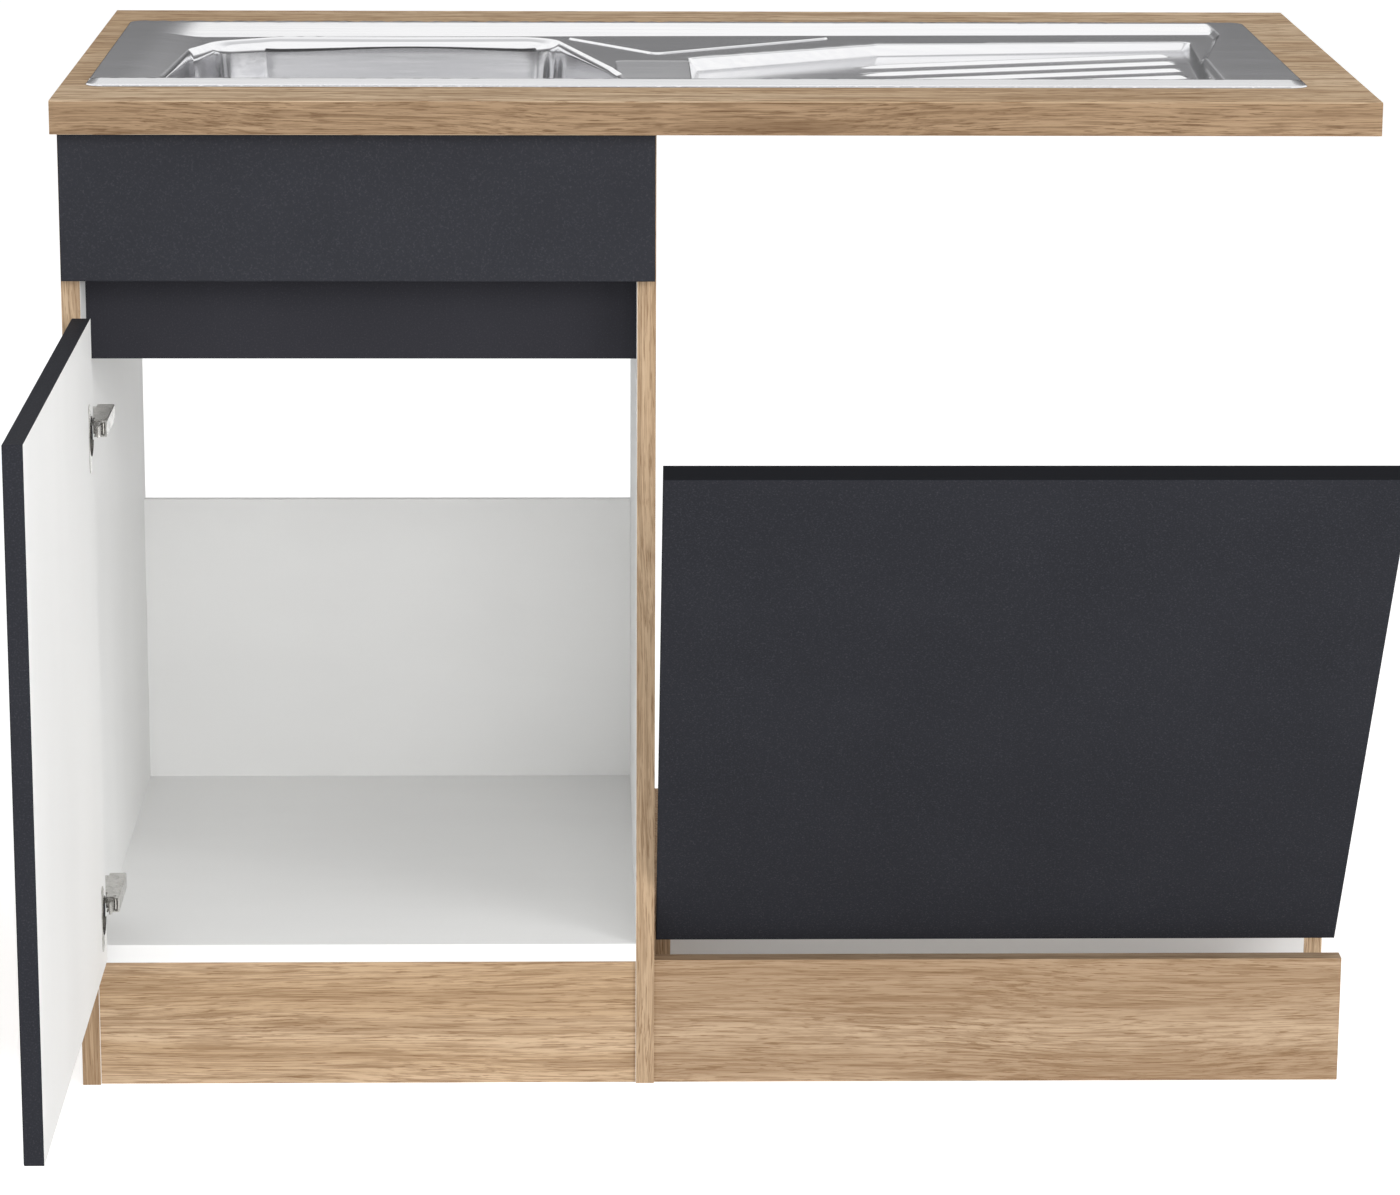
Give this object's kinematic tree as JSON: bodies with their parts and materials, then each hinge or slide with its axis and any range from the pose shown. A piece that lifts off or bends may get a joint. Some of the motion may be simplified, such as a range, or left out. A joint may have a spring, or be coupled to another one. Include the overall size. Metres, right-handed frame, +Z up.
{
  "type": "kitchen sink unit",
  "caption": "Sink base cabinet with a hinged door beside an open appliance bay with a tilting front panel, under one oak-look worktop with an inset steel sink and drainer.",
  "frame": {"origin": "on the floor, under the middle of the whole unit with its door open as in the picture", "axes": "+X to the right along the worktop, +Y to the wall, +Z up"},
  "size_m": [1.1, 1.078, 0.871],
  "materials": {
    "worktop": "matt oak decor laminate",
    "oak_board": "matt oak decor",
    "side_board": "white faces, oak front edge",
    "white_board": "matt white melamine",
    "anthracite_board": "matt anthracite melamine",
    "anthracite_front": "matt anthracite face, white back",
    "stainless": "polished stainless steel",
    "zinc_steel": "nickel plated steel",
    "rubber": "soft matt",
    "plastic": "matt grey"
  },
  "bodies": {
    "cabinet": {"back_panel": "white_board", "bay_board": "white_board", "bay_plinth": "oak_board", "bay_screws": "zinc_steel", "bottom_panel": "white_board", "cabinet_plinth": "oak_board", "carcass_screws": "zinc_steel", "clamp_screws": "zinc_steel", "fixed_front": "anthracite_board", "fixed_front_angles": "zinc_steel", "fixed_front_screws": "zinc_steel", "front_rail": "anthracite_board", "hinge_pins": "zinc_steel", "hinge_plate_screws": "zinc_steel", "left_bay_cheek": "oak_board", "left_pivot_bracket": "zinc_steel", "left_side_panel": "side_board", "lower_hinge_arm": "zinc_steel", "lower_hinge_plate": "zinc_steel", "pivot_bracket_screws": "zinc_steel", "plinth_links": "zinc_steel", "plinth_screws": "zinc_steel", "rear_rail": "white_board", "right_bay_cheek": "oak_board", "right_pivot_bracket": "zinc_steel", "right_side_panel": "side_board", "sink_clamps": "zinc_steel", "sink_seal": "rubber", "sink_top": "stainless", "upper_hinge_arm": "zinc_steel", "upper_hinge_plate": "zinc_steel", "waste_cup": "stainless", "waste_gasket": "rubber", "waste_nut": "plastic", "worktop": "worktop", "worktop_angles": "zinc_steel", "worktop_screws": "zinc_steel"},
    "door": {"door": "anthracite_front", "hinge_cup_screws": "zinc_steel", "upper_hinge_cup": "zinc_steel", "lower_hinge_cup": "zinc_steel"},
    "hinge_links": {"upper_hinge_link": "zinc_steel", "lower_hinge_link": "zinc_steel"},
    "appliance_panel": {"appliance_front": "anthracite_front", "left_front_hanger": "zinc_steel", "right_front_hanger": "zinc_steel", "hanger_screws": "zinc_steel"},
    "basket": {"strainer_basket": "stainless"}
  },
  "joints": [
    {"name": "door_swing", "type": "hinge", "parent": "cabinet", "child": "door", "pos_m": [-0.543, -0.046, 0.402], "axis": [0, 0, 1], "range_deg": [-15, 90]},
    {"name": "link_swing", "type": "hinge", "parent": "cabinet", "child": "hinge_links", "pos_m": [-0.5155, -0.0305, 0.402], "axis": [0, 0, 1], "range_deg": [-82, 14]},
    {"name": "panel_tilt", "type": "hinge", "parent": "cabinet", "child": "appliance_panel", "pos_m": [0.25, -0.0148, 0.2093], "axis": [1, 0, 0], "range_deg": [-31.5, 58.5]},
    {"name": "basket_lift", "type": "slide", "parent": "cabinet", "child": "basket", "axis": [0, 0, 1], "range_m": [0, 0.2]}
  ],
  "couplings": [
    {"joint": "link_swing", "follows": "door_swing", "ratio": -0.9071}
  ]
}
